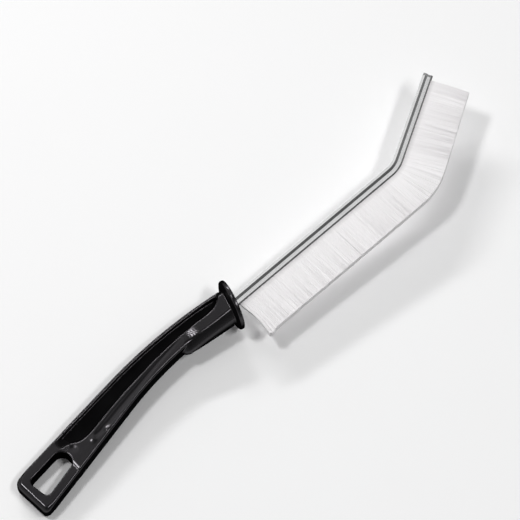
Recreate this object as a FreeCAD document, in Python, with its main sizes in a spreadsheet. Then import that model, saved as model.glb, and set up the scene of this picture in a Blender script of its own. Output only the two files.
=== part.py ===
import FreeCAD, Part
import math
import os
import Sketcher
from FreeCAD import Placement, Rotation, Vector

# Crevice brush lying on its side. The origin is the middle of the hanging hole, +X runs along the
# straight part of the brush towards its tip, the bristles point to -Y, and Z = 0 is the mid-plane.

# Driving sizes in millimetres and degrees.
driving_sizes = {
    "hole_length": 17.0,
    "hole_width": 8.2,
    "hole_corner": 2.2,
    "hole_angle": 9.0,
    "tail_reach": 13.1,
    "tail_slant": 3.7,
    "tail_spine_corner": 3.0,
    "tail_ridge_corner": 2.4,
    "spine_offset": 8.1,
    "spine_angle": 6.8,
    "spine_radius": 218.0,
    "ridge_offset": 7.75,
    "ridge_angle": 12.4,
    "ridge_radius": 160.0,
    "straight_reach": 38.5,
    "grip_setback": 5.2,
    "grip_thickness": 7.6,
    "edge_round": 0.9,
    "rim_width": 1.2,
    "ridge_width": 5.2,
    "web_wall": 0.65,
    "pocket_tail_spine": 11.0,
    "pocket_tail_ridge": 20.0,
    "pocket_ridge_setback": 15.2,
    "pocket_spine_setback": 4.7,
    "frame_depth": 0.4,
    "frame_reach": 8.3,
    "guard_reach": 93.2,
    "guard_rise": 6.15,
    "guard_radius": 9.9,
    "guard_thickness": 2.6,
    "guard_tilt": 16.0,
    "boss_radius": 6.85,
    "boss_length": 26.0,
    "boss_round": 4.0,
    "boss_angle": 6.0,
    "channel_depth": 4.2,
    "channel_width": 2.8,
    "lip_width": 2.3,
    "sheet_thickness": 0.4,
    "tang_length": 18.0,
    "socket_clearance": 0.05,
    "wire_diameter": 1.0,
    "run_length": 79.1,
    "bend_radius": 12.1,
    "bend_angle": 29.0,
    "tip_length": 39.0,
    "tip_margin": 2.0,
    "bristle_gap": 1.5,
    "bristle_reach": 16.3,
    "bristle_spread": 3.4,
    "tip_trim": 1.0,
    "tuft_gap": 0.06,
    "fold_clearance": 0.04,
}

# Tufts along the straight run, round the bend and along the tip.
run_tufts = 26
bend_tufts = 2
tip_tufts = 12

# Places that follow from the driving sizes.
derived_sizes = {
    "spine_centre": "=sizes.straight_reach + sizes.spine_radius * sin(sizes.spine_angle * 1 deg)",
    "ridge_centre": "=sizes.straight_reach + sizes.ridge_radius * sin(sizes.ridge_angle * 1 deg)",
    "pocket_floor": "=sizes.channel_width / 2 + sizes.socket_clearance + sizes.web_wall",
    "frame_floor": "=sizes.grip_thickness / 2 - sizes.frame_depth",
    "grip_front": "=sizes.guard_reach - sizes.grip_setback",
    "pocket_front_ridge": "=sizes.guard_reach - sizes.pocket_ridge_setback",
    "pocket_front_spine": "=sizes.guard_reach - sizes.pocket_spine_setback",
    "guard_front": "=sizes.guard_reach + sizes.guard_thickness / 2",
    "socket_mouth": "=sizes.guard_reach + sizes.guard_radius",
    "tang_start": "=guard_front - sizes.tang_length",
    "wire_rise": "=sizes.guard_rise + (sizes.channel_depth - sizes.channel_width) / 2",
    "wire_to_lip": "=sizes.channel_depth - sizes.channel_width / 2",
    "fold_radius": "=sizes.channel_width / 2 - sizes.sheet_thickness - sizes.fold_clearance",
    "throat": "=sizes.lip_width - 2 * (sizes.sheet_thickness + sizes.fold_clearance)",
    "wire_hole": "=sizes.wire_diameter / 2 + sizes.fold_clearance",
    "brush_start": "=guard_front + sizes.bristle_gap",
    "bend_start": "=brush_start + sizes.run_length",
    "bend_centre": "=wire_rise + sizes.bend_radius",
    "tip_start_x": "=bend_start + sizes.bend_radius * sin(sizes.bend_angle * 1 deg)",
    "tip_start_y": "=bend_centre - sizes.bend_radius * cos(sizes.bend_angle * 1 deg)",
    "run_pitch": f"=sizes.run_length / {run_tufts}",
    "bend_pitch": f"=sizes.bend_angle / {bend_tufts}",
    "bend_gap": "=sizes.tuft_gap / sizes.bend_radius * 180 / pi",
    "tip_pitch": f"=(sizes.tip_length - sizes.tip_margin) / {tip_tufts}",
}

doc = FreeCAD.newDocument("crevice_brush")
axis_z = Vector(0, 0, 1)


def fill_sheet(name, cells):
    sheet = doc.addObject("Spreadsheet::Sheet", name)
    for row, (alias, content) in enumerate(cells.items(), start=1):
        sheet.set(f"A{row}", alias)
        sheet.set(f"B{row}", str(content))
        sheet.setAlias(f"B{row}", alias)
    doc.recompute()
    return sheet


sizes = fill_sheet("sizes", driving_sizes)
places = fill_sheet("places", derived_sizes)


def amount(alias):
    return float(getattr(sizes if alias in driving_sizes else places, alias))


def radians(alias):
    return math.radians(amount(alias))


# Helpers for bodies, sketches and bound constraints.


def new_body(label):
    body = doc.addObject("PartDesign::Body", label)
    body.Label = label
    return body


def new_sketch(body, name, plane, base=(), turn=None):
    """A sketch on one of the body's own origin planes, moved and turned by bound expressions."""
    sketch = body.newObject("Sketcher::SketchObject", name)
    support = next(item for item in body.Origin.OriginFeatures if item.Role == plane)
    sketch.AttachmentSupport = (support, "")
    sketch.MapMode = "FlatFace"
    sketch.AttachmentOffset = Placement(Vector(), Rotation(axis_z, 1))
    for axis, expression in zip("xyz", base):
        if expression:
            sketch.setExpression(f"AttachmentOffset.Base.{axis}", expression)
    sketch.setExpression("AttachmentOffset.Rotation.Angle", f"({turn or 0}) * 1 deg")
    return sketch


def bound(sketch, expression, kind, *arguments):
    """Add a dimension to the sketch and tie its value to the expression."""
    index = sketch.addConstraint(Sketcher.Constraint(kind, *arguments))
    sketch.setExpression(f"Constraints[{index}]", expression)


def rule(sketch, kind, *arguments):
    sketch.addConstraint(Sketcher.Constraint(kind, *arguments))


def line(sketch, start, end):
    return sketch.addGeometry(Part.LineSegment(Vector(*start), Vector(*end)))


def arc(sketch, centre, radius, start_angle, end_angle):
    circle = Part.Circle(Vector(*centre), axis_z, radius)
    return sketch.addGeometry(Part.ArcOfCircle(circle, start_angle, end_angle))


def closed_loop(sketch, geometry):
    """Join the end of each line or arc to the start of the next, all the way round."""
    for current, following in zip(geometry, geometry[1:] + geometry[:1]):
        rule(sketch, "Coincident", current, 2, following, 1)


def add_feature(body, kind, name, profile, **settings):
    feature = body.newObject(f"PartDesign::{kind}", name)
    feature.Profile = profile
    for key, setting in settings.items():
        setattr(feature, key, setting)
    return feature


def tie(feature, **expressions):
    for name, expression in expressions.items():
        feature.setExpression(name, expression)


def removed_volume(body, feature):
    """Volume that the newest feature takes away from the body."""
    before = body.Tip.BaseFeature
    doc.recompute()
    return before.Shape.Volume - feature.Shape.Volume


# Straight and curved edges of the grip in plan.


class Side:
    """One long edge of the grip, moved inwards: a straight stretch, then a wide arc towards the boss."""

    def __init__(self, edge, inset_expression="0", inset=0.0):
        sign = 1 if edge == "spine" else -1
        self.edge = edge
        self.angle = radians(f"{edge}_angle")
        self.offset = sign * (amount(f"{edge}_offset") - inset)
        self.offset_expression = f"sizes.{edge}_offset - ({inset_expression})"
        self.radius = amount(f"{edge}_radius") - sign * inset
        self.radius_expression = f"sizes.{edge}_radius - ({sign}) * ({inset_expression})"
        self.centre_x = amount(f"{edge}_centre")
        drop = self.radius / math.cos(self.angle)
        self.centre_y = (self.offset + self.centre_x * math.sin(self.angle)) / math.cos(self.angle) - drop

    def on_line(self, x):
        return x, (self.offset + x * math.sin(self.angle)) / math.cos(self.angle)

    def on_arc_angle(self, x):
        return math.acos((x - self.centre_x) / self.radius)

    def add_line(self, sketch, start, end):
        straight = line(sketch, start, end)
        bound(sketch, f"sizes.{self.edge}_angle * 1 deg", "Angle", straight, self.angle)
        bound(sketch, self.offset_expression, "Distance", -1, 1, straight, abs(self.offset))
        return straight

    def add_line_and_arc(self, sketch, start_x, end_x):
        tangent_angle = math.pi / 2 + self.angle
        tangent_x = self.centre_x + self.radius * math.cos(tangent_angle)
        straight = self.add_line(sketch, self.on_line(start_x), self.on_line(tangent_x))
        centre = (self.centre_x, self.centre_y)
        curve = arc(sketch, centre, self.radius, self.on_arc_angle(end_x), tangent_angle)
        rule(sketch, "Tangent", straight, 2, curve, 2)
        bound(sketch, f"places.{self.edge}_centre", "DistanceX", -1, 1, curve, 3, self.centre_x)
        bound(sketch, self.radius_expression, "Radius", curve, self.radius)
        return straight, curve

    def point_on_arc(self, x):
        return x, self.centre_y + math.sqrt(self.radius ** 2 - (x - self.centre_x) ** 2)


def meeting_point(side, end_angle, end_offset):
    """Where the side's straight stretch meets the slanted line across the tail."""
    spread = math.sin(end_angle - side.angle)
    x = (side.offset * math.cos(end_angle) - end_offset * math.cos(side.angle)) / spread
    y = (side.offset * math.sin(end_angle) - end_offset * math.sin(side.angle)) / spread
    return x, y


def add_tail_line(sketch, start, end, inset_expression="0"):
    """The slanted line across the tail, from the ridge side to the spine side."""
    slant = math.pi / 2 + radians("tail_slant")
    across = line(sketch, start, end)
    bound(sketch, "(90 + sizes.tail_slant) * 1 deg", "Angle", across, slant)
    reach = f"sizes.tail_reach - ({inset_expression})"
    bound(sketch, reach, "Distance", -1, 1, across, amount("tail_reach"))
    return across


# Handle.


def grip_outline(body):
    sketch = new_sketch(body, "grip_outline", "XY_Plane")
    slant = math.pi / 2 + radians("tail_slant")
    spine = Side("spine")
    ridge = Side("ridge")
    spine_corner = meeting_point(spine, slant, amount("tail_reach"))
    ridge_corner = meeting_point(ridge, slant, amount("tail_reach"))
    tail = add_tail_line(sketch, ridge_corner, spine_corner)
    front_x = amount("grip_front")
    spine_line, spine_arc = spine.add_line_and_arc(sketch, spine_corner[0], front_x)
    ridge_line, ridge_arc = ridge.add_line_and_arc(sketch, ridge_corner[0], front_x)
    front = line(sketch, spine.point_on_arc(front_x), ridge.point_on_arc(front_x))
    rule(sketch, "Coincident", tail, 2, spine_line, 1)
    rule(sketch, "Coincident", tail, 1, ridge_line, 1)
    rule(sketch, "Coincident", front, 1, spine_arc, 1)
    rule(sketch, "Coincident", front, 2, ridge_arc, 1)
    rule(sketch, "Vertical", front)
    bound(sketch, "places.grip_front", "DistanceX", -1, 1, front, 1, front_x)
    return sketch


def edge_names(shape, wanted):
    return [f"Edge{index}" for index, edge in enumerate(shape.Edges, start=1) if wanted(edge)]


def upright_at_tail(sign):
    """Test for the upright edge at the tail on the spine side (+1) or the ridge side (-1)."""

    def wanted(edge):
        run = edge.Vertexes[-1].Point - edge.Vertexes[0].Point
        middle = edge.CenterOfMass
        return abs(run.z) > edge.Length / 2 and middle.x < 0 and middle.y * sign > 0

    return wanted


def add_fillet(body, name, wanted, radius_expression):
    doc.recompute()
    base = body.Tip
    fillet = body.newObject("PartDesign::Fillet", name)
    fillet.Base = (base, edge_names(base.Shape, wanted))
    tie(fillet, Radius=radius_expression)
    doc.recompute()


def on_flat_face(edge):
    """Test for an edge of the grip's upper or lower face: its middle is well off the mid-plane."""
    return abs(edge.CenterOfMass.z) > amount("grip_thickness") / 4


def turned_profile(body, name, angle_expression):
    """A sketch whose X axis is an axis of turning through the middle of the guard."""
    return new_sketch(body, name, "XY_Plane", ("sizes.guard_reach", "sizes.guard_rise"), angle_expression)


def add_boss(body):
    sketch = turned_profile(body, "boss_profile", "-sizes.boss_angle")
    length = amount("boss_length")
    radius = amount("boss_radius")
    curve = amount("boss_round")
    axis = line(sketch, (0, 0), (-length, 0))
    rear = line(sketch, (-length, 0), (-length, radius - curve))
    shoulder = line(sketch, (curve - length, radius), (0, radius))
    front = line(sketch, (0, radius), (0, 0))
    corner = arc(sketch, (curve - length, radius - curve), curve, math.pi / 2, math.pi)
    rule(sketch, "Coincident", axis, 1, -1, 1)
    rule(sketch, "Horizontal", axis)
    rule(sketch, "Coincident", axis, 2, rear, 1)
    rule(sketch, "Vertical", rear)
    rule(sketch, "Tangent", rear, 2, corner, 2)
    rule(sketch, "Tangent", shoulder, 1, corner, 1)
    rule(sketch, "Horizontal", shoulder)
    rule(sketch, "Coincident", shoulder, 2, front, 1)
    rule(sketch, "Vertical", front)
    rule(sketch, "Coincident", front, 2, axis, 1)
    bound(sketch, "sizes.boss_length", "DistanceX", axis, 2, axis, 1, length)
    bound(sketch, "sizes.boss_radius", "DistanceY", front, 2, front, 1, radius)
    bound(sketch, "sizes.boss_round", "Radius", corner, curve)
    add_feature(body, "Revolution", "boss", sketch, ReferenceAxis=(sketch, ["H_Axis"]), Angle=360)


def add_guard(body):
    sketch = turned_profile(body, "guard_profile", "-sizes.guard_tilt")
    half = amount("guard_thickness") / 2
    rim_start = amount("guard_radius") - half
    back = line(sketch, (-half, 0), (-half, rim_start))
    front = line(sketch, (half, rim_start), (half, 0))
    axis = line(sketch, (half, 0), (-half, 0))
    rim = arc(sketch, (0, rim_start), half, 0, math.pi)
    rule(sketch, "Coincident", axis, 2, back, 1)
    rule(sketch, "Coincident", front, 2, axis, 1)
    rule(sketch, "Symmetric", axis, 1, axis, 2, -1, 1)
    rule(sketch, "Horizontal", axis)
    rule(sketch, "Tangent", back, 2, rim, 2)
    rule(sketch, "Tangent", front, 1, rim, 1)
    rule(sketch, "Vertical", back)
    rule(sketch, "Vertical", front)
    bound(sketch, "sizes.guard_thickness", "DistanceX", axis, 2, axis, 1, 2 * half)
    bound(sketch, "sizes.guard_radius - sizes.guard_thickness / 2", "DistanceY", -1, 1, rim, 3, rim_start)
    add_feature(body, "Revolution", "guard", sketch, ReferenceAxis=(sketch, ["H_Axis"]), Angle=360)


def add_recess(body, name, sketch):
    """Cut upwards from the sketch plane and make sure that something was taken away."""
    recess = add_feature(body, "Pocket", name, sketch, Type="ThroughAll", Reversed=True)
    if removed_volume(body, recess) <= 0:
        raise RuntimeError(f"{name} cuts nothing")
    return recess


def add_leaf_pocket(body):
    sketch = new_sketch(body, "leaf_outline", "XY_Plane", ("", "", "places.pocket_floor"))
    spine = Side("spine", "sizes.rim_width", amount("rim_width"))
    ridge = Side("ridge", "sizes.ridge_width", amount("ridge_width"))
    ends = {}
    for side in (spine, ridge):
        tail_x = amount(f"pocket_tail_{side.edge}")
        front_x = amount(f"pocket_front_{side.edge}")
        straight, curve = side.add_line_and_arc(sketch, tail_x, front_x)
        bound(sketch, f"sizes.pocket_tail_{side.edge}", "DistanceX", -1, 1, straight, 1, tail_x)
        bound(sketch, f"places.pocket_front_{side.edge}", "DistanceX", -1, 1, curve, 1, front_x)
        ends[side.edge] = (straight, curve, side.on_line(tail_x), side.point_on_arc(front_x))
    tail = line(sketch, ends["ridge"][2], ends["spine"][2])
    front = line(sketch, ends["ridge"][3], ends["spine"][3])
    for position, edge in ((1, "ridge"), (2, "spine")):
        rule(sketch, "Coincident", tail, position, ends[edge][0], 1)
        rule(sketch, "Coincident", front, position, ends[edge][1], 1)
    return add_recess(body, "leaf_pocket", sketch)


def add_tail_frame(body):
    """The face round the hanging hole, a little below the ridge and inside a narrow rim."""
    sketch = new_sketch(body, "frame_outline", "XY_Plane", ("", "", "places.frame_floor"))
    rim = amount("rim_width")
    slant = math.pi / 2 + radians("tail_slant")
    spine = Side("spine", "sizes.rim_width", rim)
    ridge = Side("ridge", "sizes.rim_width", rim)
    spine_corner = meeting_point(spine, slant, amount("tail_reach") - rim)
    ridge_corner = meeting_point(ridge, slant, amount("tail_reach") - rim)
    step_x = amount("frame_reach")
    tail = add_tail_line(sketch, ridge_corner, spine_corner, "sizes.rim_width")
    spine_line = spine.add_line(sketch, spine_corner, spine.on_line(step_x))
    ridge_line = ridge.add_line(sketch, ridge_corner, ridge.on_line(step_x))
    step = line(sketch, spine.on_line(step_x), ridge.on_line(step_x))
    rule(sketch, "Coincident", tail, 2, spine_line, 1)
    rule(sketch, "Coincident", tail, 1, ridge_line, 1)
    rule(sketch, "Coincident", step, 1, spine_line, 2)
    rule(sketch, "Coincident", step, 2, ridge_line, 2)
    rule(sketch, "Vertical", step)
    bound(sketch, "sizes.frame_reach", "DistanceX", -1, 1, step, 1, step_x)
    return add_recess(body, "tail_frame", sketch)


def mirror_recesses(body, recesses):
    mirrored = body.newObject("PartDesign::Mirrored", "other_side")
    mirrored.Originals = recesses
    middle = next(item for item in body.Origin.OriginFeatures if item.Role == "XY_Plane")
    mirrored.MirrorPlane = (middle, [""])
    body.Tip = mirrored
    doc.recompute()


def add_hang_hole(body):
    """A hole with a round end towards the brush and a square end with rounded corners at the tail."""
    sketch = new_sketch(body, "hole_outline", "XY_Plane", turn="sizes.hole_angle")
    end = amount("hole_length") / 2
    half = amount("hole_width") / 2
    corner = amount("hole_corner")
    upper = line(sketch, (end - half, half), (corner - end, half))
    upper_corner = arc(sketch, (corner - end, half - corner), corner, math.pi / 2, math.pi)
    tail = line(sketch, (-end, half - corner), (-end, corner - half))
    lower_corner = arc(sketch, (corner - end, corner - half), corner, math.pi, 3 * math.pi / 2)
    lower = line(sketch, (corner - end, -half), (end - half, -half))
    round_end = arc(sketch, (end - half, 0), half, -math.pi / 2, math.pi / 2)
    loop = [upper, upper_corner, tail, lower_corner, lower, round_end]
    for current, following in zip(loop, loop[1:] + loop[:1]):
        rule(sketch, "Tangent", current, 2, following, 1)
    rule(sketch, "Horizontal", upper)
    rule(sketch, "Vertical", tail)
    rule(sketch, "Horizontal", lower)
    rule(sketch, "PointOnObject", round_end, 3, -1)
    rule(sketch, "Equal", upper_corner, lower_corner)
    bound(sketch, "sizes.hole_width / 2", "Radius", round_end, half)
    bound(sketch, "sizes.hole_corner", "Radius", upper_corner, corner)
    bound(sketch, "sizes.hole_length / 2", "DistanceX", tail, 1, -1, 1, end)
    middle = "(sizes.hole_length - sizes.hole_width) / 2"
    bound(sketch, middle, "DistanceX", -1, 1, round_end, 3, end - half)
    hole = add_feature(body, "Pocket", "hang_hole", sketch, Type="ThroughAll", SideType="Symmetric")
    if removed_volume(body, hole) <= 0:
        raise RuntimeError("the hanging hole cuts nothing")


def channel_outline(sketch, inset_expression, inset, base_shift_expression, base_shift):
    """The strip's section about the core wire: a round back and two legs pinched towards the lips."""
    radius = amount("channel_width") / 2 - inset
    half_lip = amount("lip_width") / 2 - inset
    base = -amount("wire_to_lip") - base_shift
    back = arc(sketch, (0, 0), radius, -math.pi / 2, math.pi / 2)
    upper = line(sketch, (0, radius), (base, half_lip))
    mouth = line(sketch, (base, half_lip), (base, -half_lip))
    lower = line(sketch, (base, -half_lip), (0, -radius))
    closed_loop(sketch, [back, upper, mouth, lower])
    rule(sketch, "Coincident", back, 3, -1, 1)
    rule(sketch, "Vertical", back, 1, back, 3)
    rule(sketch, "Vertical", back, 2, back, 3)
    rule(sketch, "Symmetric", mouth, 1, mouth, 2, -1)
    bound(sketch, f"sizes.channel_width / 2 - ({inset_expression})", "Radius", back, radius)
    bound(sketch, f"sizes.lip_width - 2 * ({inset_expression})", "DistanceY", mouth, 2, mouth, 1, 2 * half_lip)
    reach = f"places.wire_to_lip + ({base_shift_expression})"
    bound(sketch, reach, "DistanceX", mouth, 1, -1, 1, -base)


def add_socket(body):
    """The blind slot through the guard into the boss, which takes the strip's tang."""
    sketch = new_sketch(body, "socket_outline", "YZ_Plane", ("places.wire_rise", "", "places.socket_mouth"))
    clearance = amount("socket_clearance")
    channel_outline(sketch, "-sizes.socket_clearance", -clearance, "sizes.socket_clearance", clearance)
    socket = add_feature(body, "Pocket", "socket", sketch, Type="Length")
    tie(socket, Length="places.socket_mouth - places.tang_start + sizes.socket_clearance")
    if removed_volume(body, socket) <= 0:
        raise RuntimeError("the socket cuts nothing")


def make_handle():
    body = new_body("handle")
    grip = add_feature(body, "Pad", "grip", grip_outline(body), SideType="Symmetric")
    tie(grip, Length="sizes.grip_thickness")
    add_fillet(body, "spine_corner_round", upright_at_tail(1), "sizes.tail_spine_corner")
    add_fillet(body, "ridge_corner_round", upright_at_tail(-1), "sizes.tail_ridge_corner")
    add_fillet(body, "grip_edge_round", on_flat_face, "sizes.edge_round")
    add_boss(body)
    add_guard(body)
    doc.recompute()
    mirror_recesses(body, [add_leaf_pocket(body), add_tail_frame(body)])
    add_hang_hole(body)
    add_socket(body)
    return body


# Steel strip and its core wire.


def strip_path(body):
    """Line of the core wire: along the straight run, round the bend and along the tip."""
    sketch = new_sketch(body, "strip_path", "XY_Plane")
    rise = amount("wire_rise")
    bend = radians("bend_angle")
    bend_x = amount("bend_start")
    bend_y = amount("bend_centre")
    tip = (amount("tip_start_x"), amount("tip_start_y"))
    reach = amount("tip_length")
    tip_end = (tip[0] + reach * math.cos(bend), tip[1] + reach * math.sin(bend))
    run = line(sketch, (amount("tang_start"), rise), (bend_x, rise))
    curve = arc(sketch, (bend_x, bend_y), amount("bend_radius"), -math.pi / 2, bend - math.pi / 2)
    end = line(sketch, tip, tip_end)
    rule(sketch, "Horizontal", run)
    rule(sketch, "Tangent", run, 2, curve, 1)
    rule(sketch, "Tangent", curve, 2, end, 1)
    bound(sketch, "places.tang_start", "DistanceX", -1, 1, run, 1, amount("tang_start"))
    bound(sketch, "places.wire_rise", "DistanceY", -1, 1, run, 1, rise)
    bound(sketch, "places.bend_start", "DistanceX", -1, 1, run, 2, bend_x)
    bound(sketch, "sizes.bend_radius", "Radius", curve, amount("bend_radius"))
    bound(sketch, "sizes.bend_angle * 1 deg", "Angle", end, bend)
    bound(sketch, "sizes.tip_length", "Distance", end, reach)
    return sketch


def path_section(body, name):
    """A sketch across the start of the strip's path, with the core wire at its origin."""
    return new_sketch(body, name, "YZ_Plane", ("places.wire_rise", "", "places.tang_start"))


def sweep(body, kind, name, section, path):
    pipe = add_feature(body, kind, name, section, Mode="Standard", Transition="Transformed")
    pipe.Spine = (path, ["Edge1", "Edge2", "Edge3"])
    doc.recompute()
    return pipe


def make_channel_strip():
    body = new_body("channel_strip")
    path = strip_path(body)
    outside = path_section(body, "strip_outside")
    channel_outline(outside, "0", 0.0, "0", 0.0)
    sweep(body, "AdditivePipe", "strip_blank", outside, path)
    inside = path_section(body, "strip_inside")
    wall = amount("sheet_thickness")
    channel_outline(inside, "sizes.sheet_thickness", wall, "sizes.sheet_thickness", wall)
    sweep(body, "SubtractivePipe", "strip_hollow", inside, path)
    return body


def make_core_wire():
    body = new_body("core_wire")
    path = strip_path(body)
    section = path_section(body, "wire_section")
    radius = amount("wire_diameter") / 2
    wire = section.addGeometry(Part.Circle(Vector(), axis_z, radius))
    rule(section, "Coincident", wire, 3, -1, 1)
    bound(section, "sizes.wire_diameter", "Diameter", wire, 2 * radius)
    sweep(body, "AdditivePipe", "wire", section, path)
    return body


# Bristles.


def tuft_section(body, trim_share, centre_shift=0.0):
    """A hank folded round the wire, squeezed between the lips and spread towards its trimmed ends."""
    sketch = new_sketch(body, "tuft_section", "YZ_Plane")
    fold = amount("fold_radius")
    lip = centre_shift - amount("wire_to_lip")
    reach = amount("bristle_reach") - trim_share * amount("tip_trim")
    throat = amount("throat") / 2
    spread = amount("bristle_spread") / 2
    bight = arc(sketch, (centre_shift, 0), fold, -math.pi / 2, math.pi / 2)
    upper_leg = line(sketch, (centre_shift, fold), (lip, throat))
    upper_flare = line(sketch, (lip, throat), (lip - reach, spread))
    trimmed_end = line(sketch, (lip - reach, spread), (lip - reach, -spread))
    lower_flare = line(sketch, (lip - reach, -spread), (lip, -throat))
    lower_leg = line(sketch, (lip, -throat), (centre_shift, -fold))
    closed_loop(sketch, [bight, upper_leg, upper_flare, trimmed_end, lower_flare, lower_leg])
    hole = sketch.addGeometry(Part.Circle(Vector(centre_shift, 0), axis_z, amount("wire_hole")))
    rule(sketch, "Coincident", hole, 3, bight, 3)
    rule(sketch, "Vertical", bight, 1, bight, 3)
    rule(sketch, "Vertical", bight, 2, bight, 3)
    rule(sketch, "Symmetric", upper_leg, 2, lower_leg, 1, -1)
    rule(sketch, "Symmetric", trimmed_end, 1, trimmed_end, 2, -1)
    if centre_shift:
        rule(sketch, "PointOnObject", bight, 3, -1)
        bound(sketch, "sizes.bend_radius", "DistanceX", bight, 3, -1, 1, -centre_shift)
    else:
        rule(sketch, "Coincident", bight, 3, -1, 1)
    bound(sketch, "places.fold_radius", "Radius", bight, fold)
    bound(sketch, "places.wire_hole", "Radius", hole, amount("wire_hole"))
    bound(sketch, "places.wire_to_lip", "DistanceX", upper_leg, 2, bight, 3, amount("wire_to_lip"))
    bound(sketch, "places.throat", "DistanceY", lower_leg, 1, upper_leg, 2, 2 * throat)
    length = f"sizes.bristle_reach - {trim_share} * sizes.tip_trim"
    bound(sketch, length, "DistanceX", upper_flare, 2, upper_leg, 2, reach)
    bound(sketch, "sizes.bristle_spread", "DistanceY", trimmed_end, 2, trimmed_end, 1, 2 * spread)
    return sketch


def place_body(body, x, y, angle):
    body.Placement = Placement(Vector(), Rotation(axis_z, 1))
    body.setExpression("Placement.Base.x", x)
    body.setExpression("Placement.Base.y", y)
    body.setExpression("Placement.Rotation.Angle", f"({angle}) * 1 deg")


def straight_tuft(label, pitch, trim_share):
    body = new_body(label)
    hank = add_feature(body, "Pad", "hank", tuft_section(body, trim_share))
    tie(hank, Length=f"{pitch} - sizes.tuft_gap")
    return body


def run_tuft(label, index):
    body = straight_tuft(label, "places.run_pitch", 0)
    along = f"places.brush_start + {index} * places.run_pitch"
    place_body(body, along, "places.wire_rise", "0")
    return body


def bend_tuft(label, index, trim_share):
    """A hank that fans out round the outside of the bend."""
    body = new_body(label)
    sketch = tuft_section(body, trim_share, -amount("bend_radius"))
    fan = add_feature(body, "Revolution", "hank", sketch, ReferenceAxis=(sketch, ["V_Axis"]))
    tie(fan, Angle="(places.bend_pitch - places.bend_gap) * 1 deg")
    place_body(body, "places.bend_start", "places.bend_centre", f"{index} * places.bend_pitch")
    return body


def tip_tuft(label, index, trim_share):
    body = straight_tuft(label, "places.tip_pitch", trim_share)
    along = f"{index} * places.tip_pitch"
    x = f"places.tip_start_x + {along} * cos(sizes.bend_angle * 1 deg)"
    y = f"places.tip_start_y + {along} * sin(sizes.bend_angle * 1 deg)"
    place_body(body, x, y, "sizes.bend_angle")
    return body


def make_tufts():
    """All tufts from the guard to the tip, trimmed a little shorter from the bend onwards."""
    tufts = []
    trimmed_tufts = bend_tufts + tip_tufts
    for number in range(run_tufts + trimmed_tufts):
        label = f"bristle_tuft_{number + 1:02d}"
        after_run = number - run_tufts
        trim_share = max(0, after_run + 1) / trimmed_tufts
        if after_run < 0:
            tufts.append(run_tuft(label, number))
        elif after_run < bend_tufts:
            tufts.append(bend_tuft(label, after_run, trim_share))
        else:
            tufts.append(tip_tuft(label, after_run - bend_tufts, trim_share))
    return tufts


def check_model(sub_parts):
    """Stop before anything is written if a feature failed or a piece is not one sound solid."""
    for item in doc.Objects:
        if "Invalid" in item.State or "Error" in item.State:
            raise RuntimeError(f"{item.Label} failed: {item.State}")
    for body in sub_parts:
        shape = body.Shape
        if shape.isNull() or not shape.isValid() or len(shape.Solids) != 1:
            raise RuntimeError(f"{body.Label} is not one valid solid")


sub_parts = [make_handle(), make_channel_strip(), make_core_wire()] + make_tufts()
doc.recompute()
check_model(sub_parts)
os.makedirs("parts", exist_ok=True)
for body in sub_parts:
    body.Shape.exportStep(os.path.join("parts", f"{body.Label}.step"))
print(f"{len(sub_parts)} pieces written")
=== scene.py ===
import math
import bpy
import numpy as np
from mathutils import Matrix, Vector


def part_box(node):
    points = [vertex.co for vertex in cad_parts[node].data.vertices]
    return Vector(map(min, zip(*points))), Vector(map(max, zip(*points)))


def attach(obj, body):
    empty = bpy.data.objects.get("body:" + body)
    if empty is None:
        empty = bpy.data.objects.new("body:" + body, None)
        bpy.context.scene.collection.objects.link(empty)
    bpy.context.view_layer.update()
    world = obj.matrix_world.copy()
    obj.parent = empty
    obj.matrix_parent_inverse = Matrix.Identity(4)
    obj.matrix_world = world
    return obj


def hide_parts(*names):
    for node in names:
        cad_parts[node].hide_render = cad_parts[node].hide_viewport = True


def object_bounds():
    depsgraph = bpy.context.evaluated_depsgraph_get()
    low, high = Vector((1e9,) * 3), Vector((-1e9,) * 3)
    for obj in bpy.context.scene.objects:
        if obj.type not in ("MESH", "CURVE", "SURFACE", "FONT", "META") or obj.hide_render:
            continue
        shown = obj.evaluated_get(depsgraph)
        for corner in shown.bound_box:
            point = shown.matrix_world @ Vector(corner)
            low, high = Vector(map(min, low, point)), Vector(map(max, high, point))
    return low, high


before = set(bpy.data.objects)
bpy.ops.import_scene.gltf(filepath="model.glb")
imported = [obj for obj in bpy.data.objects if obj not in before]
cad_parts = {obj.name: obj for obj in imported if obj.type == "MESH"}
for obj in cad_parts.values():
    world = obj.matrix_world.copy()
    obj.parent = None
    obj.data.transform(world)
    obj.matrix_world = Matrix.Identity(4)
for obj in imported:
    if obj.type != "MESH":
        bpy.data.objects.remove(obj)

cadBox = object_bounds()
mm = 0.001  # shapes are worked out in millimetres and scaled once, when their mesh is made
rng = np.random.default_rng(419)  # seeded, so each run draws the same bristles
print("frame loaded:", len(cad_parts), "CAD nodes")


def ease(low, high, v):
    t = np.clip((v - low) / (high - low), 0.0, 1.0)
    return t * t * (3 - 2 * t)


# two solids kept where they overlap, with the edge between them rounded off
def roundMax(a, b, radius):
    u, v = np.maximum(a + radius, 0), np.maximum(b + radius, 0)
    return np.minimum(np.maximum(a, b), -radius) + np.hypot(u, v)


# two solids joined, with a fillet in the corner between them
def roundMin(a, b, radius):
    u, v = np.maximum(radius - a, 0), np.maximum(radius - b, 0)
    return np.maximum(np.minimum(a, b), radius) - np.hypot(u, v)


# smooth line through a few points, as y over x
def curveThrough(points):
    px, py = np.array(points, float).T
    slope = np.gradient(py, px)

    def at(x):
        i = np.clip(np.searchsorted(px, x) - 1, 0, len(px) - 2)
        width = px[i + 1] - px[i]
        t = np.clip((x - px[i]) / width, 0, 1)
        a = t * t * (3 - 2 * t)
        bow = width * t * (1 - t) * ((1 - t) * slope[i] - t * slope[i + 1])
        return py[i] * (1 - a) + py[i + 1] * a + bow

    return at


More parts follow.
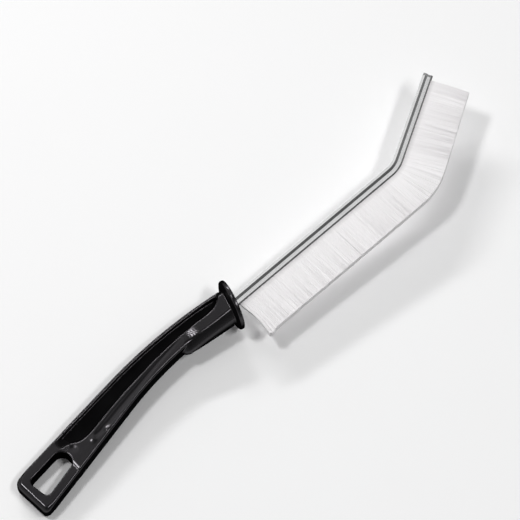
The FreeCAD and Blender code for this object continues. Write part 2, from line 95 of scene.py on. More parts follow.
# distance above such a line, square to it
def above(line, x, y):
    slope = (line(x + 0.1) - line(x - 0.1)) / 0.2
    return (y - line(x)) / np.sqrt(1 + slope * slope)


def meshPiece(name, points, *faceSets, normals=None):
    mesh = bpy.data.meshes.new(name)
    mesh.vertices.add(len(points))
    mesh.vertices.foreach_set("co", (np.asarray(points) * mm).astype(np.float32).ravel())
    sets = [np.asarray(f, np.int32) for f in faceSets if len(f)]
    mesh.loops.add(sum(f.size for f in sets))
    mesh.loops.foreach_set("vertex_index", np.concatenate([f.ravel() for f in sets]))
    sides = np.concatenate([np.full(len(f), f.shape[1]) for f in sets])
    mesh.polygons.add(len(sides))
    starts = np.concatenate([[0], np.cumsum(sides)[:-1]])
    mesh.polygons.foreach_set("loop_start", starts.astype(np.int32))
    mesh.update(calc_edges=True)
    mesh.validate()
    mesh.shade_smooth()
    if normals is not None:
        mesh.normals_split_custom_set_from_vertices(normals)
    piece = bpy.data.objects.new(name, mesh)
    bpy.context.scene.collection.objects.link(piece)
    return piece


def newFinish(name, **sockets):
    finish = bpy.data.materials.new(name)
    finish.use_nodes = True
    shader = finish.node_tree.nodes["Principled BSDF"]
    for socket, value in sockets.items():
        shader.inputs[socket.replace("_", " ")].default_value = value
    return finish, shader


def addNode(finish, kind, **settings):
    node = finish.node_tree.nodes.new("ShaderNode" + kind)
    for key, value in settings.items():
        if hasattr(node, key):
            setattr(node, key, value)
        else:
            node.inputs[key.replace("_", " ")].default_value = value
    return node


def wire(finish, start, end):
    finish.node_tree.links.new(start, end)


# noise in the object's own space, squeezed along its axes where stretch says so
def grain(finish, scale, detail=3.0, stretch=(1, 1, 1)):
    coords = addNode(finish, "TexCoord")
    mapping = addNode(finish, "Mapping")
    mapping.inputs["Scale"].default_value = stretch
    noise = addNode(finish, "TexNoise", Scale=scale, Detail=detail)
    wire(finish, coords.outputs["Object"], mapping.inputs["Vector"])
    wire(finish, mapping.outputs["Vector"], noise.inputs["Vector"])
    return noise.outputs["Fac"]


def ramp(finish, source, *stops):
    node = addNode(finish, "ValToRGB")
    band = node.color_ramp.elements
    while len(band) < len(stops):
        band.new(0.5)
    for element, (place, colour) in zip(band, stops):
        element.position = place
        element.color = (*colour, 1) if len(colour) == 3 else (colour[0],) * 3 + (1,)
    wire(finish, source, node.inputs["Fac"])
    return node.outputs["Color"]


def spread(finish, source, low, high):
    node = addNode(finish, "MapRange")
    node.inputs["To Min"].default_value, node.inputs["To Max"].default_value = low, high
    wire(finish, source, node.inputs["Value"])
    return node.outputs["Result"]


def roughen(finish, shader, height, strength, depth):
    bump = addNode(finish, "Bump", Strength=strength, Distance=depth)
    wire(finish, height, bump.inputs["Height"])
    wire(finish, bump.outputs["Normal"], shader.inputs["Normal"])


# Handle: tail with the hanging hole, grip with a leaf-shaped hollow, round boss and guard disc
handle = {
    "cell": 0.28,
    "tail": (13.1, 3.7, 3.0, 2.4),  # reach, slant, corner at the spine, corner at the ridge
    "spine": (8.1, 6.8, 218.0),  # offset, slope in degrees, radius towards the guard
    "ridge": (-7.75, 12.4, 160.0),
    "straightTo": 38.5,
    "gripEnd": 92.5,
    "halfThick": 3.8,
    "edgeRound": (0.55, 0.95, 2.3),  # along the spine, along the ridge, at the tail end
    "spineBlend": (-4.0, -2.0),  # the rounding changes between these distances from the spine
    "tailBlend": (-13.0, -6.5),  # and between these x
    "tailDip": (8.0, 0.3),  # the tail's face is a little lower than the grip's, up to this x
    "dipSweep": (5.0, 2.0, 5.0),  # the dip ends this much later at the spine, between these y
    "dipStep": 1.5,
    "dimple": (11.4, 2.0, 1.3, 0.2),  # x, y, size, depth
    "marks": [(19.2, -0.3), (25.8, -0.55)],  # two tiny bumps
    "markShape": (0.24, 1.1),  # height, spread
    "hole": {
        "spine": (4.15, 7.0),  # offset and slope of a long side
        "ridge": (-4.0, 13.5),
        "ends": (8.6, 9.0),  # half length, turn in degrees
        "corners": (2.2, 3.2),  # at the tail, at the front
        "lip": 0.5,
    },
    "hollowFloor": (1.75, 0.17),  # height at the ridge wall, rise towards the spine
    "hollowRamp": (0.5, 0.34),  # drop at its tail end, slope from there down to the floor
    "hollowFillet": 0.3,
    "hollowCorners": (0.9, 1.3),  # along the rim, at the tail
    "hollowFade": 0.4,  # the duller finish starts over this width
    "hollowRim": 1.35,  # wall left along the spine
    "hollowTail": 7.9,  # x where it starts
    "hollowLip": (0.65, 0.45),  # rounding of its edge, and how much more at both ends
    "lipEnds": [(14.0, 6.0), (85.0, 5.0)],  # x of these ends, and over what length
    "hollowEdge": [
        (4, 4.9), (8.2, 4.95), (9.8, 5.05), (11.5, 4.75), (13.6, 3.45), (15.4, 2.72),
        (17.8, 2.5), (20.3, 2.62), (23, 3.0), (25.5, 3.5), (32, 4.75), (37.7, 5.72),
        (43.3, 6.5), (49, 7.26), (54.5, 7.9), (60, 8.38), (66, 8.75), (71, 8.85),
        (77.6, 8.6), (80.6, 8.36), (83.7, 8.3), (86.7, 8.65), (88.6, 9.35), (90.0, 10.2), (91.5, 12.6),
    ],
    "grooveMid": [  # thumb groove along the grip
        (18, -0.5), (22, 0.15), (26, 0.75), (33, 2.05), (40, 3.3),
        (45, 4.15), (51, 5.3), (59, 6.55), (66, 7.4), (72, 7.9),
    ],
    "grooveHalf": [(18, 0.7), (21, 1.3), (26, 1.75), (36, 1.75), (45, 1.5), (52, 1.2), (60, 0.95), (70, 0.7)],
    "grooveDepth": 0.17,  # as a share of its half width
    "grooveStart": (18.2, 23.0),
    "grooveEnd": (60.0, 72.0),
    "guard": (93.2, 6.4, 9.9, 1.3, 16.0),  # centre x and y, radius, half thickness, tilt
    "guardBack": (7.2, 23.0),  # its back slopes away from this radius to a thinner rim
    "guardRounds": (0.4, 0.3),  # at its rim, where it meets the grip
    "boss": (6.15, 6.85, 26.0, 3.4, 6.0),  # centre y at the guard, radius, length, end round, slope
    "bossRounds": (1.5, 0.2, 0.5, 0.3),  # at the shoulder, the top, the hollow and the grip
    "crown": (5.95, 0.07),  # height of the boss's flat top at the guard, fall towards the grip
    "rise": (71.0, 77.0, 0.53),  # from and to x, a small rise where the boss leaves the grip
    "streaks": (0.02, 7.2, 2.2),  # flow streaks on it: height, closeness along and across
    "streakWaver": (1.4, 2.6, 1.3),
    "streakPatch": (73.2, 6.5, 3.0, 1.1, 0.32),  # middle of their patch, half length and width, lean
    "crease": [
        (60, 5.6), (65.5, 5.6), (70.2, 5.05), (75.4, 4.35), (81.3, 3.35), (86, 2.85), (90.9, 2.48), (95, 2.3),
    ],
    "creaseFall": 33.0,  # the shoulder falls away from the crease at this angle
    "creaseFlat": (22.0, 0.08),  # tilt and depth of the narrow flat along the crease
    "socket": (76.5, 6.15, 2.15, 1.45),  # from x, middle y, half depth, half width
    "socketRounds": (0.9, 0.15),  # its corners, its mouth
    "margin": 1.1,  # round the CAD box, for the skin's cells
}


def longEdge(offset, slope, radius):
    a = math.radians(slope)
    middle = handle["straightTo"] + radius * math.sin(a)
    centre = (offset + middle * math.sin(a) - radius) / math.cos(a)

    def at(x):
        arc = centre + np.sqrt(radius**2 - (x - middle) ** 2)
        return np.where(x < handle["straightTo"], (offset + x * math.sin(a)) / math.cos(a), arc)

    return at


def slantedLine(offset, slope):
    a = math.radians(slope)
    return lambda x: (offset + x * math.sin(a)) / math.cos(a)


spineEdge, ridgeEdge = longEdge(*handle["spine"]), longEdge(*handle["ridge"])
hollowEdge = curveThrough(handle["hollowEdge"])
creaseLine = curveThrough(handle["crease"])
grooveMid, grooveHalf = curveThrough(handle["grooveMid"]), curveThrough(handle["grooveHalf"])


def hollowPlan(x, y):
    rimCorner, tailCorner = handle["hollowCorners"]
    inside = roundMax(-above(hollowEdge, x, y), above(spineEdge, x, y) + handle["hollowRim"], rimCorner)
    return roundMax(inside, handle["hollowTail"] - x, tailCorner)


def holePlan(x, y):
    hole = handle["hole"]
    reach, turn = hole["ends"]
    u = x * math.cos(math.radians(turn)) + y * math.sin(math.radians(turn))
    spineSide = above(slantedLine(*hole["spine"]), x, y)
    ridgeSide = -above(slantedLine(*hole["ridge"]), x, y)
    tailCorner, frontCorner = hole["corners"]
    tailEnd, frontEnd = -u - reach, u - reach
    tailHalf = np.maximum(roundMax(spineSide, tailEnd, tailCorner), roundMax(ridgeSide, tailEnd, tailCorner))
    frontHalf = np.maximum(roundMax(spineSide, frontEnd, frontCorner), roundMax(ridgeSide, frontEnd, frontCorner))
    return np.maximum(tailHalf, frontHalf)


# height of the grip's face: tail dip, thumb groove, the small dimple by the hole and two tiny bumps
def faceHeight(x, y):
    dipEnd, dip = handle["tailDip"]
    across = (y - grooveMid(x)) / grooveHalf(x)
    along = ease(*handle["grooveStart"], x) * (1 - ease(*handle["grooveEnd"], x))
    groove = handle["grooveDepth"] * grooveHalf(x) * np.clip(1 - across**2, 0, 1) ** 1.5 * along
    dx, dy, size, deep = handle["dimple"]
    dimple = deep * np.exp(-((x - dx) ** 2 + (y - dy) ** 2) / size**2)
    high, wide = handle["markShape"]
    marks = sum(high * np.exp(-((x - mx) ** 2 + (y - my) ** 2) / wide) for mx, my in handle["marks"])
    later, fromY, toY = handle["dipSweep"]
    past = np.clip((x - dipEnd - later * ease(fromY, toY, y)) / handle["dipStep"] + 0.5, 0, 1)
    step = 1 - (1 - past) ** 2
    return handle["halfThick"] - dip * (1 - step) - groove - dimple + marks


def handleField(x, y, z):
    side = np.abs(z)  # both faces are alike
    reach, slant, spineCorner, ridgeCorner = handle["tail"]
    tail = -x * math.cos(math.radians(slant)) - y * math.sin(math.radians(slant)) - reach
    plan = np.maximum(
        roundMax(above(spineEdge, x, y), tail, spineCorner), roundMax(-above(ridgeEdge, x, y), tail, ridgeCorner)
    )
    spineRound, ridgeRound, tailRound = handle["edgeRound"]
    edge = ridgeRound + (spineRound - ridgeRound) * ease(*handle["spineBlend"], above(spineEdge, x, y))
    edge = tailRound + (edge - tailRound) * ease(*handle["tailBlend"], x)
    grip = roundMax(np.maximum(plan, x - handle["gripEnd"]), side - faceHeight(x, y), edge)

    gx, gy, guardRadius, guardHalf, tilt = handle["guard"]
    rise, radius, length, endRound, slope = handle["boss"]
    c, s = math.cos(math.radians(slope)), math.sin(math.radians(slope))
    back = -(x - gx) * c + (y - rise) * s
    toRidge = -(x - gx) * s - (y - rise) * c
    barrel = np.hypot(toRidge, z) - radius
    height, fall = handle["crown"]
    riseStart, riseEnd, riseBy = handle["rise"]
    patchX, patchY, patchLong, patchWide, patchLean = handle["streakPatch"]
    beside = y - patchY + patchLean * (x - patchX)
    inPatch = np.exp(-(((x - patchX) / patchLong) ** 2) - (beside / patchWide) ** 2)
    streakHigh, closeAlong, closeAcross = handle["streaks"]
    waver, waverY, waverX = handle["streakWaver"]
    phase = closeAlong * x + closeAcross * y + waver * np.sin(waverY * y + waverX * x)
    streaks = streakHigh * inPatch * np.sin(phase)
    top = side - height + fall * back + riseBy * (1 - ease(riseStart, riseEnd, x)) - streaks
    drop = math.radians(handle["creaseFall"])
    shoulder = top * math.cos(drop) + (creaseLine(x) - y) * math.sin(drop)
    flatTilt, flatDeep = handle["creaseFlat"]
    flatTilt = math.radians(flatTilt)
    flat = top * math.cos(flatTilt) + (creaseLine(x) - y) * math.sin(flatTilt) + flatDeep
    shoulderRound, topRound, hollowRound, gripFillet = handle["bossRounds"]
    boss = roundMax(np.maximum(roundMax(barrel, shoulder, shoulderRound), flat), top, topRound)
    boss = np.maximum(roundMax(boss, back - length, endRound), -back)
    boss = roundMax(boss, above(hollowEdge, x, y), hollowRound)
    body = roundMin(grip, boss, gripFillet)

    floorLow, floorRise = handle["hollowFloor"]
    hollowBed = floorLow + floorRise * np.maximum(y - hollowEdge(x), 0)
    rampDrop, rampSlope = handle["hollowRamp"]
    hollowBed = np.maximum(hollowBed, handle["halfThick"] - rampDrop - rampSlope * (x - handle["hollowTail"]))
    hollow = roundMax(hollowPlan(x, y), hollowBed - side, handle["hollowFillet"])
    lip, wider = handle["hollowLip"]
    lip = lip + wider * sum(np.exp(-(((x - end) / over) ** 2)) for end, over in handle["lipEnds"])
    body = roundMax(body, -hollow, lip)
    body = roundMax(body, -holePlan(x, y), handle["hole"]["lip"])

    c, s = math.cos(math.radians(tilt)), math.sin(math.radians(tilt))
    through = (x - gx) * c - (y - gy) * s
    outwards = np.hypot((x - gx) * s + (y - gy) * c, z)
    slopeFrom, slopeBack = handle["guardBack"]
    slopeBack = math.radians(slopeBack)
    sloping = (outwards - slopeFrom) * math.sin(slopeBack) - (through + guardHalf) * math.cos(slopeBack)
    rimRound, guardFillet = handle["guardRounds"]
    guard = roundMax(outwards - guardRadius, through - guardHalf, rimRound)
    guard = roundMax(guard, np.maximum(-through - guardHalf, sloping), rimRound)
    body = roundMin(body, guard, guardFillet)

    socketStart, socketMid, socketDeep, socketHalf = handle["socket"]
    cornerRound, mouthRound = handle["socketRounds"]
    socket = roundMax(side - socketHalf, np.abs(y - socketMid) - socketDeep, cornerRound)
    return roundMax(body, -np.maximum(socket, socketStart - x), mouthRound)


def slopeOf(field, p, step=0.02):
    x, y, z = p.T
    return np.stack([
        field(x + step, y, z) - field(x - step, y, z),
        field(x, y + step, z) - field(x, y - step, z),
        field(x, y, z + step) - field(x, y, z - step),
    ], 1) / (2 * step)


# skin of a solid given by its distance field: one point per crossed cell, one quad per crossed edge
def skinOf(field, low, high, cell, normalStep=0.12):
    axes = [np.arange(a, b + cell, cell) for a, b in zip(low, high)]
    value = field(axes[0][:, None, None], axes[1][None, :, None], axes[2][None, None, :])
    inner = value < 0
    corners = [(i, j, k) for i in (0, 1) for j in (0, 1) for k in (0, 1)]
    size = np.array(value.shape) - 1
    pick = lambda grid, c: grid[c[0]:c[0] + size[0], c[1]:c[1] + size[1], c[2]:c[2] + size[2]]
    filled = sum(pick(inner, c).astype(np.int8) for c in corners)
    cells = np.argwhere((filled > 0) & (filled < 8))
    number = np.full(size, -1)
    number[tuple(cells.T)] = np.arange(len(cells))
    total, hits = np.zeros((len(cells), 3)), np.zeros(len(cells))
    for a in corners:
        for axis in range(3):
            if a[axis]:
                continue
            b = list(a)
            b[axis] = 1
            va, vb = value[tuple((cells + a).T)], value[tuple((cells + b).T)]
            crossed = (va < 0) != (vb < 0)
            t = np.where(crossed, va / np.where(crossed, va - vb, 1), 0)
            place = np.array(a) + t[:, None] * (np.array(b) - a)
            total += place * crossed[:, None]
            hits += crossed
    points = np.array([a[0] for a in axes]) + (cells + total / hits[:, None]) * cell
    quads = []
    for axis in range(3):
        b, c = (axis + 1) % 3, (axis + 2) % 3
        here = [slice(1, -1)] * 3
        here[axis] = slice(0, -1)
        there = list(here)
        there[axis] = slice(1, None)
        first, second = inner[tuple(here)], inner[tuple(there)]
        for leaving in (True, False):
            at = np.argwhere((first != second) & (first == leaving))
            at[:, b] += 1
            at[:, c] += 1
            ring = []
            for stepB, stepC in ((-1, -1), (0, -1), (0, 0), (-1, 0)):
                spot = at.copy()
                spot[:, b] += stepB
                spot[:, c] += stepC
                ring.append(number[tuple(spot.T)])
            quads.append(np.stack(ring if leaving else ring[::-1], 1))
    for _ in range(4):  # pull the points onto the true surface
        g = slopeOf(field, points)
        steepness = np.maximum((g * g).sum(1), 0.2)
        points = points - np.clip(field(*points.T) / steepness, -cell, cell)[:, None] * g
    g = slopeOf(field, points, normalStep)  # a wider step, so that the shading is smooth
    return points, np.concatenate(quads), g / np.linalg.norm(g, axis=1, keepdims=True)


handleLow, handleHigh = (np.array(c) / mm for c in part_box("handle"))
around = handle["margin"]
skin, skinQuads, skinNormals = skinOf(handleField, handleLow - around, handleHigh + around, handle["cell"])
handlePiece = meshPiece("moulded_handle", skin, skinQuads, normals=skinNormals)
hollowMask = handlePiece.data.attributes.new("hollow", "FLOAT", "POINT")
inHollow = np.clip(-hollowPlan(skin[:, 0], skin[:, 1]) / handle["hollowFade"], 0, 1)
hollowMask.data.foreach_set("value", inHollow.astype(np.float32))
print("handle:", len(skin), "points")

plastic = {
    "mottle": [(0.3, (0.002, 0.002, 0.0022)), (0.75, (0.0045, 0.0044, 0.0047))],
    "scuffed": (0.17, 0.28),  # roughness of the grip and, below, of the hollow
    "moulded": (0.16, 0.24),
    "gloss": {"From Min": 0.2, "From Max": 0.55, "To Min": 0.52, "To Max": 0.0},  # less at a slant
    "hollowGloss": 0.15,  # share of the gloss that is left in the hollow
}
blackPlastic, shader = newFinish("gloss_black_plastic", Specular_Tint=(0.98, 0.94, 1.0, 1.0))
mottle = ramp(blackPlastic, grain(blackPlastic, 95.0, 4.0), *plastic["mottle"])
wire(blackPlastic, mottle, shader.inputs["Base Color"])
hollowOf = addNode(blackPlastic, "Attribute", attribute_name="hollow").outputs["Fac"]
scuffs = spread(blackPlastic, grain(blackPlastic, 260.0, 5.0, (0.25, 1, 1)), *plastic["scuffed"])
satin = addNode(blackPlastic, "Mix", data_type="FLOAT")
wire(blackPlastic, hollowOf, satin.inputs["Factor"])
wire(blackPlastic, scuffs, satin.inputs["A"])
wire(blackPlastic, spread(blackPlastic, grain(blackPlastic, 420.0), *plastic["moulded"]), satin.inputs["B"])
wire(blackPlastic, satin.outputs["Result"], shader.inputs["Roughness"])
turnedAway = addNode(blackPlastic, "LayerWeight").outputs["Facing"]
gloss = addNode(blackPlastic, "MapRange", interpolation_type="SMOOTHSTEP")
for socket, value in plastic["gloss"].items():
    gloss.inputs[socket].default_value = value
wire(blackPlastic, turnedAway, gloss.inputs["Value"])
dulled = addNode(blackPlastic, "Math", operation="MULTIPLY")
wire(blackPlastic, gloss.outputs["Result"], dulled.inputs[0])
wire(blackPlastic, spread(blackPlastic, hollowOf, 1.0, plastic["hollowGloss"]), dulled.inputs[1])
wire(blackPlastic, dulled.outputs["Value"], shader.inputs["Specular IOR Level"])
roughen(blackPlastic, shader, grain(blackPlastic, 230.0, 0.5), 0.14, 0.00004)
handlePiece.data.materials.append(blackPlastic)
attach(handlePiece, "root")
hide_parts("handle")


# Strip: sheet steel folded round the core wire, its legs crimped onto the bristles
strip = {
    "tangStart": 76.5,
    "rise": 6.85,  # y of the core wire
    "bendStart": 175.1,
    "bendRadius": 12.1,
    "bendTurn": math.radians(29.0),
    "tipLength": 39.0,
    # half of the section, out and up from the core wire
    "back": [(1.4, 0.0), (1.38, 0.5), (1.32, 0.9), (1.12, 1.28), (0.2, 1.38)],
    "shoulder": [(-0.25, 1.05), (-0.72, 0.7)],
    "leg": [(-1.15, 0.705), (-1.6, 0.715), (-2.08, 0.725)],
    "lip": [(-2.4, 0.5), (-2.75, 0.26)],
    "inner": [(-2.75, 0.2), (-0.9, 0.2), (-0.45, 0.6), (0.1, 0.95), (0.8, 0.7), (0.98, 0.3)],
    "innerMid": (1.0, 0.0),
    "tangEnd": 94.0,
    "tangStep": 1.5,
    "crimpStart": 95.0,
    "crimpPitch": 0.62,
    "crimpDepth": 0.013,
    "crimpFlat": -0.2,  # the ticks are cut off below this share of their depth
    "perTick": 4,  # stations
    "taper": 0.03,
    "pinch": (1.3, 0.22),  # the end is pressed flatter over this length, by this share
    "lastStep": 0.05,
}
bendLength = strip["bendRadius"] * strip["bendTurn"]
stripEnd = strip["bendStart"] + bendLength + strip["tipLength"]


# point beside the core wire: s along it, out to the strip's back, up
def byWire(s, out, up):
    turn = np.clip((s - strip["bendStart"]) / strip["bendRadius"], 0, strip["bendTurn"])
    past = np.maximum(s - strip["bendStart"] - bendLength, 0)
    x = np.minimum(s, strip["bendStart"]) + strip["bendRadius"] * np.sin(turn) + past * np.cos(turn)
    y = strip["rise"] + strip["bendRadius"] * (1 - np.cos(turn)) + past * np.sin(turn)
    return np.stack(np.broadcast_arrays(x - out * np.sin(turn), y + out * np.cos(turn), up), -1)


halfLoop = np.array(strip["back"] + strip["shoulder"] + strip["leg"] + strip["lip"] + strip["inner"])
legStart = len(strip["back"]) + len(strip["shoulder"])
crimped = np.zeros(len(halfLoop))
crimped[legStart:legStart + len(strip["leg"])] = 1
mirrored = halfLoop[:0:-1] * (1, -1)
loop = np.concatenate([halfLoop, [strip["innerMid"]], mirrored])
crimped = np.concatenate([crimped, [0], crimped[:0:-1]])
stations = np.concatenate([
    np.arange(strip["tangStart"], strip["tangEnd"], strip["tangStep"]),
    np.arange(strip["tangEnd"], stripEnd - 0.01, strip["crimpPitch"] / strip["perTick"]),
    [stripEnd - strip["lastStep"], stripEnd],
])
tapering = 1 - strip["taper"] * ease(strip["bendStart"], stripEnd, stations)
pinchLength, pinchShare = strip["pinch"]
pinching = 1 - pinchShare * ease(stripEnd - pinchLength, stripEnd, stations)
ticks = np.clip(np.cos(2 * np.pi * stations / strip["crimpPitch"]), strip["crimpFlat"], 1)
tick = strip["crimpDepth"] * ticks * (stations > strip["crimpStart"])
out = loop[None, :, 0] * tapering[:, None]
up = loop[None, :, 1] * pinching[:, None] - np.sign(loop[None, :, 1]) * crimped * tick[:, None]
stripPoints = byWire(stations[:, None], out, up).reshape(-1, 3)
rows, count = len(stations), len(loop)
i, j = np.meshgrid(np.arange(rows - 1), np.arange(count), indexing="ij")
beside = (j + 1) % count
here, ahead = i * count, (i + 1) * count
sheetQuads = np.stack([here + j, ahead + j, ahead + beside, here + beside], -1).reshape(-1, 4)
endFaces = np.stack([np.arange(count), (rows - 1) * count + np.arange(count)[::-1]])
stripPiece = meshPiece("crimped_strip", stripPoints, sheetQuads, endFaces)
stripPiece.data.shade_flat()
print("strip:", rows, "stations")


def steelFinish(name, tone, low, high, blotchShade=0.86):
    finish, shader = newFinish(name, Metallic=1.0)
    brushed = grain(finish, 900.0, 4.0, (0.06, 1, 1))
    blotch = grain(finish, 130.0, 3.0)
    colour = ramp(finish, blotch, (0.25, [t * blotchShade for t in tone]), (0.75, tone))
    wire(finish, colour, shader.inputs["Base Color"])
    wire(finish, spread(finish, brushed, low, high), shader.inputs["Roughness"])
    roughen(finish, shader, brushed, 0.1, 0.00003)
    return finish


stripPiece.data.materials.append(steelFinish("plated_strip_steel", (0.93, 0.93, 0.935), 0.16, 0.24))
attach(stripPiece, "root")
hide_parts("channel_strip")

wireSteel = steelFinish("drawn_wire_steel", (0.5, 0.5, 0.51), 0.25, 0.4)
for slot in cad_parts["core_wire"].material_slots:
    slot.link = "OBJECT"
    slot.material = wireSteel


# Bristles: white filaments folded round the core wire, trimmed to one line
bristles = {
    "start": 96.0,
    "runTufts": (26, 79.1),
    "bendTufts": (2, bendLength),
    "tipTufts": (12, 37.0),
    "perMm": 6.2,  # in each layer
    "atBend": 1.6,  # so many times more where they fan out
    "layers": 10,
    "thick": 0.22,
    "thickRange": (0.8, 1.15),
    "rootRange": (0.3, 0.7),  # place of a root within its share of the row
    "reach": 16.3,
    "tipTrim": 1.0,
    "fold": 0.5,  # they start this far from the wire
    "throat": 0.2,  # half thickness of the row at the strip's lip
    "spread": 1.55,  # and at its ends
    "lipAt": 2.8,  # from the wire to the lip
    "nearBow": (0.9, 4.0),  # the first filaments bow away from the guard, fading over this length
    "nearFlare": (0.8, 2.6),  # and stand out a little past the trimmed line
    "nearBlunt": (0.75, 0.7),  # except the very first, which blunt the corner
    "nearStop": 0.1,  # none lies further than this before the row
    "tipLean": (1.2, 12.0),  # the last ones lean back
    "ripple": (0.02, 1.9, 2.0),  # lean, and how fast it changes along the row and between layers
    "sway": (0.1, 0.43, 1.3),
    "partings": [(118.5, 0.02), (158.5, 0.03), (178.2, 0.035), (190.5, 0.035), (203.5, 0.05)],
    "partingLength": 0.9,
    "uneven": {"trim": 0.05, "lean": 0.014, "tip": 0.018},
    "strays": 0.004,
    "strayTrim": (-0.5, 0.2),
    "strayLean": 0.3,
    "rings": (0.0, 0.2, 0.45, 0.72, 1.0),
    "sides": 5,
}
edges = [bristles["start"]]
for group in ("runTufts", "bendTufts", "tipTufts"):
    tufts, span = bristles[group]
    edges += list(edges[-1] + span / tufts * np.arange(1, tufts + 1))
edges = np.array(edges)


def filamentPoints(root, layer):
    n = len(root)
    t = np.array(bristles["rings"])[None, :]
    nearest = layer + rng.uniform(-1, 1, n) / bristles["layers"]
    trim = bristles["tipTrim"] * ease(strip["bendStart"], stripEnd, root)
    uneven = bristles["uneven"]
    free = bristles["reach"] - trim + rng.normal(0, uneven["trim"], n)
    stray = rng.random(n) < bristles["strays"]
    free = free + np.where(stray, rng.uniform(*bristles["strayTrim"], n), 0)
    flare, flareLength = bristles["nearFlare"]
    free = free + flare * np.exp(-((root - edges[0]) / flareLength) ** 4)
    blunt, bluntLength = bristles["nearBlunt"]
    free = free - blunt * np.exp(-((root - edges[0]) / bluntLength) ** 2)
    out = -bristles["fold"] - t * (bristles["lipAt"] - bristles["fold"] + free[:, None])
    opened = np.clip((-out - bristles["lipAt"]) / free[:, None], 0, 1)
    ripple, rippleAlong, rippleUp = bristles["ripple"]
    sway, swayAlong, swayStart = bristles["sway"]
    wave = ripple * np.sin(root * rippleAlong + rippleUp * nearest) + sway * np.sin(root * swayAlong + swayStart)
    lean = wave + rng.normal(0, uneven["lean"], n) + np.where(stray, rng.normal(0, bristles["strayLean"], n), 0)
    for place, gap in bristles["partings"]:
        lean += gap * np.sign(root - place) * np.exp(-np.abs(root - place) / bristles["partingLength"])
    bow, bowLength = bristles["nearBow"]
    near = np.exp(-((root - edges[0]) / bowLength) ** 2)
    back, backLength = bristles["tipLean"]
    far = np.exp(-((edges[-1] - root) / backLength) ** 2)
    s = root[:, None] + lean[:, None] * opened**2
    s = s + (bow * near)[:, None] * np.sin(np.pi * opened) - (back * far)[:, None] * opened**1.5
    s = np.maximum(s, edges[0] - bristles["nearStop"])
    tipUp = nearest * bristles["spread"] + rng.normal(0, uneven["tip"], n)
    up = (nearest * bristles["throat"])[:, None] * (1 - opened) + tipUp[:, None] * opened
    return s, out, up


def bristlePiece(name, low, high):
    bent = low < strip["bendStart"] + bendLength and high > strip["bendStart"]
    crowd = bristles["perMm"] * (bristles["atBend"] if bent else 1.0)
    inLayer, layers = int((high - low) * crowd), bristles["layers"]
    n = inLayer * layers
    layer = np.repeat(np.linspace(-1, 1, layers), inLayer)
    share = np.tile(np.arange(inLayer), layers) + rng.uniform(*bristles["rootRange"], n)
    root = low + share * (high - low) / inLayer
    s, out, up = filamentPoints(root, layer)
    sides, rings = bristles["sides"], s.shape[1]
    turn = 2 * np.pi * np.arange(sides) / sides + rng.uniform(0, 1, n)[:, None]
    half = bristles["thick"] / 2 * rng.uniform(*bristles["thickRange"], n)
    ringS = s[:, :, None] + (half[:, None] * np.cos(turn))[:, None, :]
    ringUp = up[:, :, None] + (half[:, None] * np.sin(turn))[:, None, :]
    points = byWire(ringS, out[:, :, None], ringUp).reshape(-1, 3)
    filament = np.arange(n) * rings * sides
    first = filament[:, None, None] + (np.arange(rings - 1) * sides)[None, :, None]
    k = np.arange(sides)[None, None, :]
    after = (k + 1) % sides
    second = first + sides
    quads = np.stack([first + k, first + after, second + after, second + k], -1).reshape(-1, 4)
    tips = points.reshape(n, rings, sides, 3)[:, -1].reshape(-1, 3)  # cut square, so with points of their own
    ends = len(points) + np.arange(n * sides).reshape(n, sides)
    piece = meshPiece(name, np.concatenate([points, tips]), quads, ends)
    along = np.broadcast_to(np.array(bristles["rings"])[None, :, None], (n, rings, sides)).ravel()
    alongMask = piece.data.attributes.new("along", "FLOAT", "POINT")
    alongMask.data.foreach_set("value", np.concatenate([along, np.ones(n * sides)]).astype(np.float32))
    return piece


nylon = {
    "tones": [(0.0, (0.9, 0.885, 0.892)), (0.4, (0.925, 0.91, 0.918)), (1.0, (0.945, 0.93, 0.938))],
    # painted shade: these tones darken the filaments next to the strip's lip
    "paintedLipShade": [(0.1, (0.62, 0.61, 0.615)), (0.15, (0.85, 0.845, 0.848)), (0.22, (1.0, 1.0, 1.0))],
}
whiteNylon, shader = newFinish("white_nylon_filament", Roughness=0.42, IOR=1.53)
each = addNode(whiteNylon, "NewGeometry").outputs["Random Per Island"]
filamentTone = ramp(whiteNylon, each, *nylon["tones"])
alongOf = addNode(whiteNylon, "Attribute", attribute_name="along").outputs["Fac"]
paintedLipShadeColour = ramp(whiteNylon, alongOf, *nylon["paintedLipShade"])  # painted shade: the filaments get darker towards the strip's lip, where they go in under it
shaded = addNode(whiteNylon, "Mix", data_type="RGBA", blend_type="MULTIPLY")
shaded.inputs["Factor"].default_value = 1.0
wire(whiteNylon, filamentTone, shaded.inputs["A"])
wire(whiteNylon, paintedLipShadeColour, shaded.inputs["B"])
wire(whiteNylon, shaded.outputs["Result"], shader.inputs["Base Color"])
roughen(whiteNylon, shader, grain(whiteNylon, 1600.0, 2.0), 0.15, 0.00004)

tuftNames = sorted(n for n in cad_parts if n.startswith("bristle_tuft"))
inRow = 5
for row in range(0, len(tuftNames), inRow):
    piece = bristlePiece("bristle_row_%d" % (row // inRow + 1), edges[row], edges[row + inRow])
    piece.data.materials.append(whiteNylon)
    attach(piece, "root")
    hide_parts(*tuftNames[row:row + inRow])
print("bristles:", len(tuftNames) // inRow, "rows")


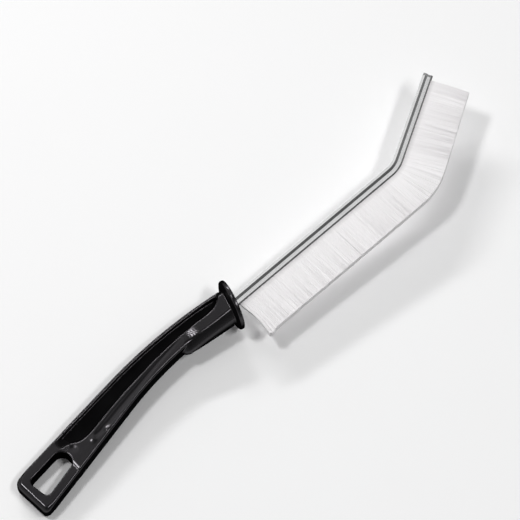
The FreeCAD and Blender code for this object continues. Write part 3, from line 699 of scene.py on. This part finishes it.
# Stage: pale floor, three softboxes, a wide panel overhead, camera as in the photograph
stage = {
    "floorSize": 4.0,
    "floorTone": (0.985, 0.985, 0.987),
    "floorShade": 0.995,
    "floorGap": 0.00008,
    "tailRest": (-12.4, -3.38),  # x and height of the tail's lowest line
    "aim": Vector((0.1141, 0.0127, 0.0)),
    "camera": Vector((-0.2297, -0.3600, 1.0876)),
    "lens": 220.7,
    # lamps: direction, distance, size, brightness
    "leftLamp": (Vector((-0.25, 0.31, 0.917)), 1.1, (0.17, 0.14), 47.0),
    "rightLamp": (Vector((0.16, -0.43, 0.89)), 1.15, (0.4, 0.12), 24.0),
    "backLamp": (Vector((0.25, 0.81, 0.53)), 1.2, (0.7, 0.09), 27.0),
    "panel": (Vector((0.3, 0.385, 0.873)), 1.27, (0.8, 0.5), 0.65),
    "worldLow": 0.06,  # overhead
    "worldHigh": 0.55,  # at the horizon
    "worldUp": (0.25, -0.3, 0.92),  # leans, so the right side is darker than the left
    "worldSpan": 0.85,
}
tailX, tailZ = (v * mm for v in stage["tailRest"])
guardX, guardZ = handle["guard"][0] * mm, cadBox[0].z
slope = (guardZ - tailZ) / (guardX - tailX)  # the brush lies on its guard and its tail
half = stage["floorSize"] / 2
floorHeight = lambda x: guardZ + slope * (x - guardX) - stage["floorGap"]
floorPlan = [(-half, -half), (half, -half), (half, half), (-half, half)]
floorMesh = bpy.data.meshes.new("floor")
floorMesh.from_pydata([(x, y, floorHeight(x)) for x, y in floorPlan], [], [(0, 1, 2, 3)])
floor = bpy.data.objects.new("floor", floorMesh)
bpy.context.scene.collection.objects.link(floor)
paper, shader = newFinish("pale_paper", Roughness=0.9, Specular_IOR_Level=0.1)
tone = stage["floorTone"]
clouded = ramp(paper, grain(paper, 30.0), (0.2, [t * stage["floorShade"] for t in tone]), (0.8, tone))
wire(paper, clouded, shader.inputs["Base Color"])
floorMesh.materials.append(paper)


def softbox(name, direction, distance, size, brightness):
    lamp = bpy.data.lights.new(name, "AREA")
    lamp.shape = "RECTANGLE"
    lamp.size, lamp.size_y = size
    lamp.energy = brightness * math.pi * size[0] * size[1]
    holder = bpy.data.objects.new(name, lamp)
    holder.location = stage["aim"] + direction.normalized() * distance
    holder.rotation_euler = (-direction).to_track_quat("-Z", "Y").to_euler()
    bpy.context.scene.collection.objects.link(holder)


softbox("left_softbox", *stage["leftLamp"])
softbox("right_softbox", *stage["rightLamp"])
softbox("back_softbox", *stage["backLamp"])
softbox("overhead_panel", *stage["panel"])

world = bpy.data.worlds.new("studio")
bpy.context.scene.world = world
world.use_nodes = True
sky = world.node_tree.nodes["Background"]
coords = world.node_tree.nodes.new("ShaderNodeTexCoord")
upwards = world.node_tree.nodes.new("ShaderNodeVectorMath")
upwards.operation = "DOT_PRODUCT"
upwards.inputs[1].default_value = stage["worldUp"]
heightRange = world.node_tree.nodes.new("ShaderNodeMapRange")
heightRange.inputs["From Max"].default_value = stage["worldSpan"]
heightRange.inputs["To Min"].default_value = stage["worldHigh"]
heightRange.inputs["To Max"].default_value = stage["worldLow"]
world.node_tree.links.new(coords.outputs["Generated"], upwards.inputs[0])
world.node_tree.links.new(upwards.outputs["Value"], heightRange.inputs["Value"])
world.node_tree.links.new(heightRange.outputs["Result"], sky.inputs["Color"])

lensData = bpy.data.cameras.new("photo_camera")
lensData.lens = stage["lens"]
camera = bpy.data.objects.new("photo_camera", lensData)
camera.location = stage["camera"]
camera.rotation_euler = (stage["aim"] - stage["camera"]).to_track_quat("-Z", "Y").to_euler()
bpy.context.scene.collection.objects.link(camera)
bpy.context.scene.camera = camera
bpy.context.scene.view_settings.view_transform = "Standard"
print("stage set")
